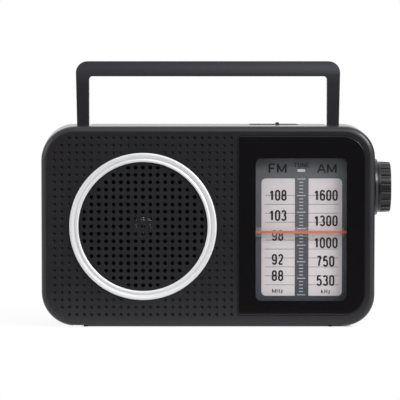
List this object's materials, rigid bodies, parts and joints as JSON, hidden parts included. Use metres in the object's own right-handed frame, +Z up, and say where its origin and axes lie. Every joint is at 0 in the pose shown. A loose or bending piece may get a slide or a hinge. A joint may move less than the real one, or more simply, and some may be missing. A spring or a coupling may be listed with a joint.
{
  "type": "tabletop radio",
  "caption": "Portable table radio with a perforated speaker front in a silver ring, a glazed slide-rule dial, a side tuning knob, a folding handle and a telescopic antenna.",
  "frame": {"origin": "middle of the object's footprint, on the plane that the feet rest on", "axes": "+Z up, +X to the right of the front, -Y out of the front, so the speaker and the dial face -Y"},
  "size_m": [0.2538, 0.0694, 0.192],
  "materials": {
    "case_plastic": "fine-textured black ABS, satin",
    "handle_plastic": "black ABS, satin",
    "knob_plastic": "black ABS, satin, gloss rim",
    "silver_trim": "silver-painted plastic, satin",
    "dial_gloss": "clear acrylic, back-printed black, polished",
    "clear_plastic": "clear polystyrene, polished",
    "dial_print": "printed dial, light strips on slate",
    "pointer_red": "orange-red paint line in clear plastic",
    "lamp_white": "milky diffuser",
    "rubber_black": "moulded rubber",
    "steel_plain": "plain and zinc-plated steel",
    "chrome_bright": "polished chrome",
    "nylon_white": "natural nylon",
    "cord_fibre": "waxed dial cord",
    "cone_paper": "pressed paper pulp",
    "coil_copper": "enamelled copper",
    "ferrite_dark": "sintered ferrite",
    "board_green": "solder-masked board",
    "part_black": "moulded black plastic",
    "sleeve_blue": "capacitor sleeve",
    "tape_yellow": "winding tape"
  },
  "bodies": {
    "cabinet": {"front_cabinet": "case_plastic", "rear_cabinet": "case_plastic", "cabinet_screw_1": "steel_plain", "cabinet_screw_2": "steel_plain", "cabinet_screw_3": "steel_plain", "cabinet_screw_4": "steel_plain", "foot_front_left": "rubber_black", "foot_front_right": "rubber_black", "foot_rear_left": "rubber_black", "foot_rear_right": "rubber_black", "speaker_trim_ring": "silver_trim", "dial_window": "dial_gloss", "dial_plate": "dial_print", "tune_lamp": "lamp_white", "pointer_rail": "steel_plain", "knob_plate": "knob_plastic", "shaft_bracket": "steel_plain", "dial_cord": "cord_fibre", "tuning_capacitor": "clear_plastic", "band_switch": "steel_plain", "volume_control": "steel_plain", "handle_pin_left": "steel_plain", "handle_pin_right": "steel_plain", "speaker_gasket": "rubber_black", "speaker_frame": "steel_plain", "speaker_top_plate": "steel_plain", "speaker_magnet": "ferrite_dark", "speaker_yoke": "steel_plain", "circuit_board": "board_green", "radio_chip": "part_black", "if_transformer": "steel_plain", "filter_capacitor": "sleeve_blue", "ferrite_rod": "ferrite_dark", "transformer_core": "steel_plain", "transformer_winding": "tape_yellow", "mains_inlet": "part_black", "earphone_socket": "part_black", "battery_spring_upper": "steel_plain", "battery_spring_lower": "steel_plain", "battery_contact_upper": "steel_plain", "battery_contact_lower": "steel_plain"},
    "tuning": {"tuning_knob": "knob_plastic", "tuning_shaft": "nylon_white"},
    "drum": {"dial_drum": "nylon_white"},
    "pointer": {"dial_pointer": "pointer_red"},
    "idler_upper": {"idler_wheel_upper": "nylon_white"},
    "idler_lower": {"idler_wheel_lower": "nylon_white"},
    "band_slider": {"band_slider": "knob_plastic"},
    "volume_wheel": {"volume_wheel": "knob_plastic"},
    "handle": {"handle": "handle_plastic"},
    "speaker_cone": {"speaker_cone": "cone_paper", "speaker_surround": "rubber_black", "speaker_dust_cap": "chrome_bright", "voice_coil": "coil_copper"},
    "battery_door": {"battery_door": "case_plastic"},
    "antenna_base": {"antenna_base": "chrome_bright"},
    "antenna_tube": {"antenna_tube": "chrome_bright"},
    "antenna_inner_tube": {"antenna_inner_tube": "chrome_bright"},
    "antenna_rod": {"antenna_rod": "chrome_bright"}
  },
  "joints": [
    {"name": "tuning_turn", "type": "hinge", "parent": "cabinet", "child": "tuning", "pos_m": [0.11755, 0.0027, 0.1], "axis": [1, 0, 0], "range_deg": [-237, 302]},
    {"name": "pointer_travel", "type": "slide", "parent": "cabinet", "child": "pointer", "axis": [0, 0, 1], "range_m": [-0.0372, 0.0292]},
    {"name": "drum_turn", "type": "hinge", "parent": "cabinet", "child": "drum", "pos_m": [0.10155, 0.0067, 0.06], "axis": [1, 0, 0], "range_deg": [-80, 102]},
    {"name": "idler_upper_turn", "type": "hinge", "parent": "cabinet", "child": "idler_upper", "pos_m": [0.10155, -0.0233, 0.121], "axis": [1, 0, 0], "range_deg": [-418, 532]},
    {"name": "idler_lower_turn", "type": "hinge", "parent": "cabinet", "child": "idler_lower", "pos_m": [0.10155, -0.0233, 0.021], "axis": [1, 0, 0], "range_deg": [-418, 532]},
    {"name": "band_slide", "type": "slide", "parent": "cabinet", "child": "band_slider", "axis": [-1, 0, 0], "range_m": [0, 0.005]},
    {"name": "volume_turn", "type": "hinge", "parent": "cabinet", "child": "volume_wheel", "pos_m": [0.10405, 0.0197, 0.025], "axis": [0, 1, 0], "range_deg": [0, 300]},
    {"name": "handle_fold", "type": "hinge", "parent": "cabinet", "child": "handle", "pos_m": [-0.00645, 0.0027, 0.1395], "axis": [-1, 0, 0], "range_deg": [0, 90]},
    {"name": "cone_travel", "type": "slide", "parent": "cabinet", "child": "speaker_cone", "axis": [0, -1, 0], "range_m": [-0.0015, 0.0015], "stiffness_N_per_m": 1000},
    {"name": "battery_door_swing", "type": "hinge", "parent": "cabinet", "child": "battery_door", "pos_m": [0.02255, 0.0337, 0.0073], "axis": [-1, 0, 0], "range_deg": [0, 85]},
    {"name": "antenna_swivel", "type": "hinge", "parent": "cabinet", "child": "antenna_base", "pos_m": [0.06355, 0.0311, 0.1205], "axis": [0, 1, 0], "range_deg": [0, 180]},
    {"name": "antenna_tilt", "type": "hinge", "parent": "antenna_base", "child": "antenna_tube", "pos_m": [0.06255, 0.0311, 0.1205], "axis": [0, 0, -1], "range_deg": [0, 90]},
    {"name": "antenna_pull_inner", "type": "slide", "parent": "antenna_tube", "child": "antenna_inner_tube", "axis": [-1, 0, 0], "range_m": [0, 0.13]},
    {"name": "antenna_pull_rod", "type": "slide", "parent": "antenna_inner_tube", "child": "antenna_rod", "axis": [-1, 0, 0], "range_m": [0, 0.13]}
  ],
  "couplings": [
    {"joint": "pointer_travel", "follows": "tuning_turn", "m_per_rad": -0.007},
    {"joint": "drum_turn", "follows": "tuning_turn", "ratio": 0.33333},
    {"joint": "idler_upper_turn", "follows": "tuning_turn", "ratio": 1.75},
    {"joint": "idler_lower_turn", "follows": "tuning_turn", "ratio": 1.75}
  ]
}
